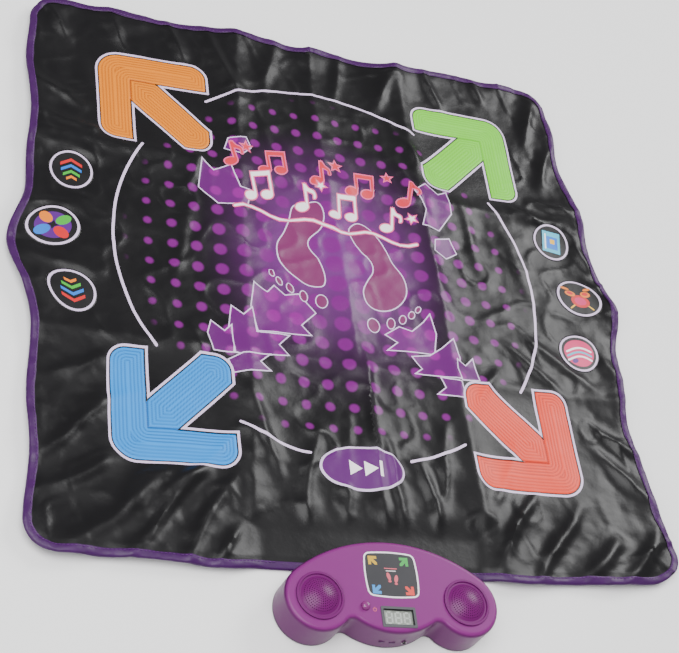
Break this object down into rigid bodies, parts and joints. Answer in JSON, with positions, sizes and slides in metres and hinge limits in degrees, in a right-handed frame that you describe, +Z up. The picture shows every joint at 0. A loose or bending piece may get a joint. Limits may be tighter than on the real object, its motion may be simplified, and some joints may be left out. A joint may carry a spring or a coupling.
{
  "type": "dance rhythm machine",
  "caption": "Soft dance mat with corner arrow pads, side touch pads and a start pad, joined to a low console with domed speakers, an indicator panel and a score display.",
  "frame": {"origin": "centre of the whole object's footprint, on the floor", "axes": "+Z up; +Y along the mat from the console towards the mat's far edge; +X to the right of a player who faces away from the console, which stands at -Y"},
  "size_m": [0.93, 1.035, 0.059],
  "materials": {
    "mat_vinyl": "smooth black PVC sheet, printed",
    "backing_fabric": "plain woven backing",
    "binding_tape": "glossy coated binding tape, stitched",
    "contact_film": "thin clear polyester film",
    "carbon_ink": "printed carbon",
    "spacer_foam": "closed-cell foam sheet",
    "shell_plastic": "satin moulded plastic",
    "base_plastic": "textured moulded plastic",
    "grille_plastic": "satin moulded plastic, perforated",
    "foot_rubber": "soft black rubber",
    "plated_steel": "zinc plated",
    "cone_paper": "pressed paper",
    "ferrite": "ferrite ring with steel plates",
    "screw_steel": "zinc plated",
    "trim_white": "smooth white plastic",
    "panel_dark": "tinted plastic, printed",
    "lamp_resin": "clear resin",
    "bezel_dark": "fine textured plastic",
    "clear_window": "clear acrylic",
    "display_grey": "liquid crystal panel",
    "digit_ink": "dark segments",
    "button_plastic": "smooth moulded plastic",
    "part_black": "moulded black plastic",
    "key_rubber": "moulded rubber",
    "circuit_board": "green solder mask",
    "socket_chrome": "nickel plated",
    "connector_white": "moulded white plastic",
    "cell_jacket": "printed jacket",
    "lead_insulation": "flexible insulation",
    "vinyl_yellow": "embossed printed PVC",
    "vinyl_green": "embossed printed PVC",
    "vinyl_blue": "embossed printed PVC",
    "vinyl_red": "embossed printed PVC",
    "vinyl_purple": "embossed printed PVC",
    "vinyl_black": "embossed printed PVC"
  },
  "bodies": {
    "dance_machine": {"top_cover": "mat_vinyl", "bottom_cover": "backing_fabric", "edge_binding": "binding_tape", "lower_film": "contact_film", "contact_tracks": "carbon_ink", "foam_spacer": "spacer_foam", "mat_tongues": "backing_fabric", "cable_tail": "contact_film", "console_shell": "shell_plastic", "console_base": "base_plastic", "left_grille": "grille_plastic", "right_grille": "grille_plastic", "rubber_feet": "foot_rubber", "left_speaker_frame": "plated_steel", "right_speaker_frame": "plated_steel", "left_speaker_cone": "cone_paper", "right_speaker_cone": "cone_paper", "left_speaker_magnet": "ferrite", "right_speaker_magnet": "ferrite", "speaker_screws": "screw_steel", "panel_trim": "trim_white", "indicator_panel": "panel_dark", "indicator_lamps": "lamp_resin", "display_bezel": "bezel_dark", "display_window": "clear_window", "display_module": "display_grey", "display_digits": "digit_ink", "power_switch": "part_black", "key_switches": "part_black", "key_board": "circuit_board", "headphone_socket": "part_black", "socket_nut": "socket_chrome", "main_board": "circuit_board", "board_screws": "screw_steel", "board_parts": "part_black", "tail_connector": "connector_white", "battery_cells": "cell_jacket", "battery_contacts": "plated_steel", "battery_springs": "plated_steel", "clamp_bars": "base_plastic", "clamp_screws": "screw_steel", "case_screws": "screw_steel", "internal_leads": "lead_insulation"},
    "yellow_arrow_pad": {"yellow_arrow_pad": "vinyl_yellow"},
    "green_arrow_pad": {"green_arrow_pad": "vinyl_green"},
    "blue_arrow_pad": {"blue_arrow_pad": "vinyl_blue"},
    "red_arrow_pad": {"red_arrow_pad": "vinyl_red"},
    "left_back_round_pad": {"left_back_round_pad": "vinyl_black"},
    "left_middle_round_pad": {"left_middle_round_pad": "vinyl_black"},
    "left_front_round_pad": {"left_front_round_pad": "vinyl_black"},
    "right_back_round_pad": {"right_back_round_pad": "vinyl_black"},
    "right_middle_round_pad": {"right_middle_round_pad": "vinyl_black"},
    "right_front_round_pad": {"right_front_round_pad": "vinyl_black"},
    "start_pad": {"start_pad": "vinyl_purple"},
    "power_button": {"power_button": "button_plastic"},
    "left_key": {"left_key": "key_rubber"},
    "right_key": {"right_key": "key_rubber"},
    "battery_door": {"battery_door": "base_plastic", "door_screws": "screw_steel"}
  },
  "joints": [
    {"name": "yellow_arrow_pad_press", "type": "slide", "parent": "dance_machine", "child": "yellow_arrow_pad", "axis": [0, 0, -1], "range_m": [0, 0.0018], "stiffness_N_per_m": 1500},
    {"name": "green_arrow_pad_press", "type": "slide", "parent": "dance_machine", "child": "green_arrow_pad", "axis": [0, 0, -1], "range_m": [0, 0.0018], "stiffness_N_per_m": 1500},
    {"name": "blue_arrow_pad_press", "type": "slide", "parent": "dance_machine", "child": "blue_arrow_pad", "axis": [0, 0, -1], "range_m": [0, 0.0018], "stiffness_N_per_m": 1500},
    {"name": "red_arrow_pad_press", "type": "slide", "parent": "dance_machine", "child": "red_arrow_pad", "axis": [0, 0, -1], "range_m": [0, 0.0018], "stiffness_N_per_m": 1500},
    {"name": "left_back_round_pad_press", "type": "slide", "parent": "dance_machine", "child": "left_back_round_pad", "axis": [0, 0, -1], "range_m": [0, 0.0018], "stiffness_N_per_m": 900},
    {"name": "left_middle_round_pad_press", "type": "slide", "parent": "dance_machine", "child": "left_middle_round_pad", "axis": [0, 0, -1], "range_m": [0, 0.0018], "stiffness_N_per_m": 900},
    {"name": "left_front_round_pad_press", "type": "slide", "parent": "dance_machine", "child": "left_front_round_pad", "axis": [0, 0, -1], "range_m": [0, 0.0018], "stiffness_N_per_m": 900},
    {"name": "right_back_round_pad_press", "type": "slide", "parent": "dance_machine", "child": "right_back_round_pad", "axis": [0, 0, -1], "range_m": [0, 0.0018], "stiffness_N_per_m": 900},
    {"name": "right_middle_round_pad_press", "type": "slide", "parent": "dance_machine", "child": "right_middle_round_pad", "axis": [0, 0, -1], "range_m": [0, 0.0018], "stiffness_N_per_m": 900},
    {"name": "right_front_round_pad_press", "type": "slide", "parent": "dance_machine", "child": "right_front_round_pad", "axis": [0, 0, -1], "range_m": [0, 0.0018], "stiffness_N_per_m": 900},
    {"name": "start_pad_press", "type": "slide", "parent": "dance_machine", "child": "start_pad", "axis": [0, 0, -1], "range_m": [0, 0.0018], "stiffness_N_per_m": 900},
    {"name": "power_button_press", "type": "slide", "parent": "dance_machine", "child": "power_button", "axis": [0, 0, -1], "range_m": [0, 0.0015], "stiffness_N_per_m": 1200},
    {"name": "left_key_press", "type": "slide", "parent": "dance_machine", "child": "left_key", "axis": [0, 1, 0], "range_m": [0, 0.001], "stiffness_N_per_m": 1500},
    {"name": "right_key_press", "type": "slide", "parent": "dance_machine", "child": "right_key", "axis": [0, 1, 0], "range_m": [0, 0.001], "stiffness_N_per_m": 1500},
    {"name": "battery_door_lift", "type": "slide", "parent": "dance_machine", "child": "battery_door", "axis": [0, 0, -1], "range_m": [0, 0.015]}
  ]
}
